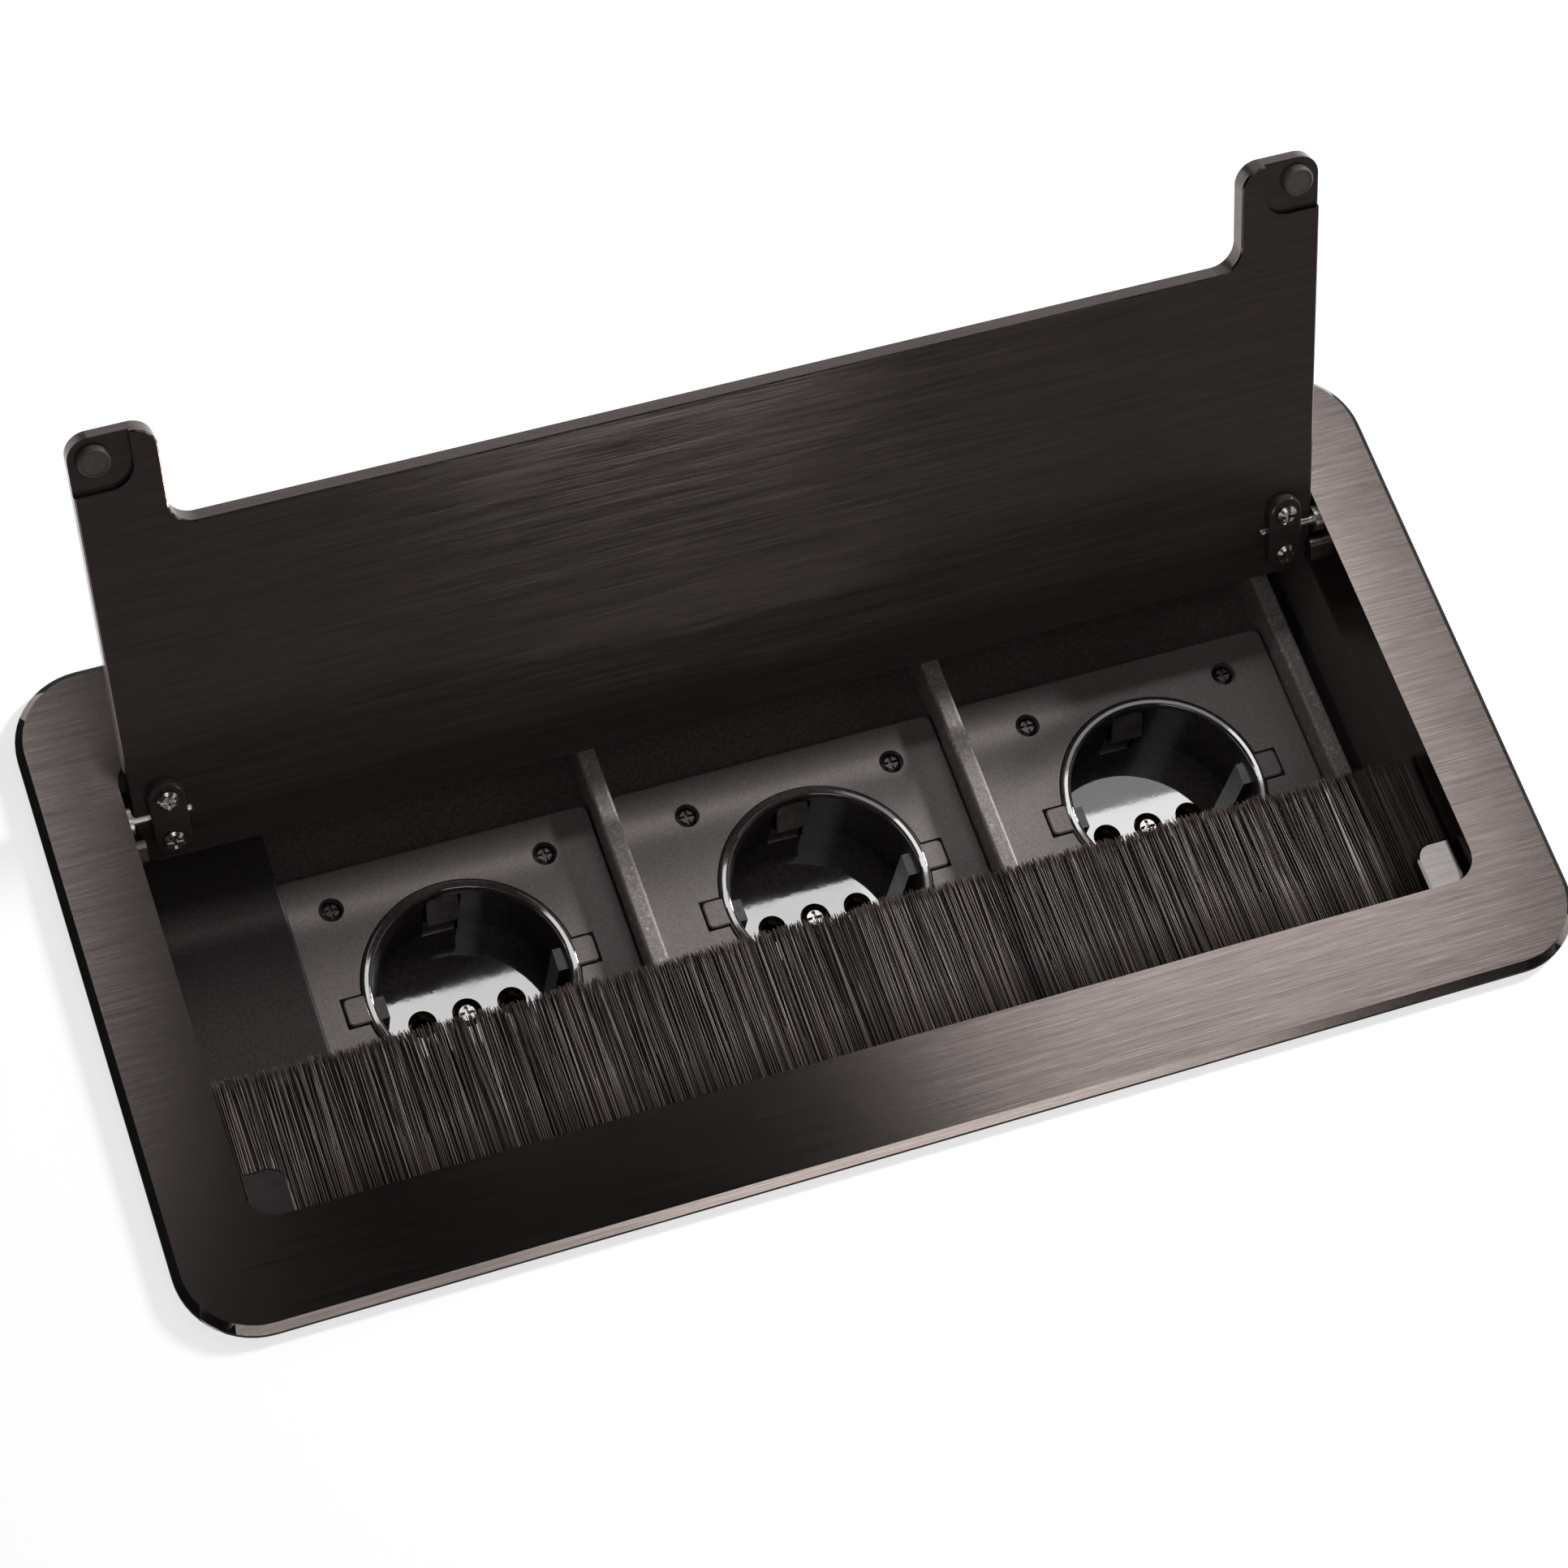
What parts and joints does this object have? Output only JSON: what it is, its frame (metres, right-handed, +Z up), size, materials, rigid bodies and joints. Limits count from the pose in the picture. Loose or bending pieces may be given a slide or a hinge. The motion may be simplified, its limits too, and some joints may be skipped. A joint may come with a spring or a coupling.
{
  "type": "recessed desk socket unit",
  "caption": "Recessed desk socket unit with a brushed aluminium surround, flip-up lid, brush cord outlet and round two-pin sockets on a sunken black deck.",
  "frame": {"origin": "centre of the opening at the level of the desk top, on the underside of the seal", "axes": "+X along the long side, +Y to the hinge side, +Z up; the user and the brush are at -Y"},
  "size_m": [0.3122, 0.152, 0.1591],
  "materials": {
    "bezel_aluminium": "brushed along the long side, anodised warm dark grey, polished bevel",
    "plain_aluminium": "milled",
    "lid_aluminium": "brushed along the long side, anodised dark",
    "black_rubber": "matt",
    "pad_rubber": "matt",
    "clamp_metal": "satin black",
    "bright_steel": "bright",
    "bristle_nylon": "straight dark bristles",
    "black_powder_coat": "fine textured black powder coat",
    "satin_black_plastic": "satin",
    "gloss_black_plastic": "gloss",
    "grey_plastic": "matt",
    "spring_steel": "plated",
    "sleeve_brass": "plain",
    "gland_nylon": "matt",
    "zinc_steel": "zinc plated",
    "dark_screw": "blackened"
  },
  "bodies": {
    "base": {"bezel_frame": "bezel_aluminium", "rest_ledge_left": "plain_aluminium", "rest_ledge_right": "plain_aluminium", "desk_seal": "black_rubber", "hinge_bush_left": "bright_steel", "hinge_bush_right": "bright_steel", "lid_stop_left": "plain_aluminium", "lid_stop_right": "plain_aluminium", "brush_channel": "plain_aluminium", "brush_bristles": "bristle_nylon", "brush_screws": "zinc_steel", "tray_housing": "black_powder_coat", "tray_screws": "zinc_steel", "socket_deck": "black_powder_coat", "deck_screws_front": "zinc_steel", "deck_screws_rear": "zinc_steel", "cross_rail_1": "black_powder_coat", "cross_rail_2": "black_powder_coat", "cross_rail_3": "black_powder_coat", "rail_screws": "zinc_steel", "cable_cover": "black_powder_coat", "gland_body": "gland_nylon", "gland_nut": "gland_nylon", "gland_cap": "gland_nylon", "gland_seal": "black_rubber", "desk_bracket_left": "zinc_steel", "desk_bracket_right": "zinc_steel", "bracket_bolts_left": "zinc_steel", "bracket_bolts_right": "zinc_steel", "socket_centre_screws": "dark_screw", "face_panel_1": "satin_black_plastic", "panel_screws_1": "dark_screw", "socket_well_1": "gloss_black_plastic", "socket_base_1": "grey_plastic", "earth_strap_1": "spring_steel", "contact_sleeves_1": "sleeve_brass", "face_panel_2": "satin_black_plastic", "panel_screws_2": "dark_screw", "socket_well_2": "gloss_black_plastic", "socket_base_2": "grey_plastic", "earth_strap_2": "spring_steel", "contact_sleeves_2": "sleeve_brass", "face_panel_3": "satin_black_plastic", "panel_screws_3": "dark_screw", "socket_well_3": "gloss_black_plastic", "socket_base_3": "grey_plastic", "earth_strap_3": "spring_steel", "contact_sleeves_3": "sleeve_brass"},
    "lid": {"lid": "lid_aluminium", "lid_pad_left": "pad_rubber", "lid_pad_right": "pad_rubber", "hinge_clamp_left": "clamp_metal", "hinge_clamp_right": "clamp_metal", "hinge_pin_left": "bright_steel", "hinge_pin_right": "bright_steel", "hinge_screws": "bright_steel"}
  },
  "joints": [
    {"name": "lid_hinge", "type": "hinge", "parent": "base", "child": "lid", "pos_m": [0, 0.0372, 0], "axis": [1, 0, 0], "range_deg": [0, 119]}
  ]
}
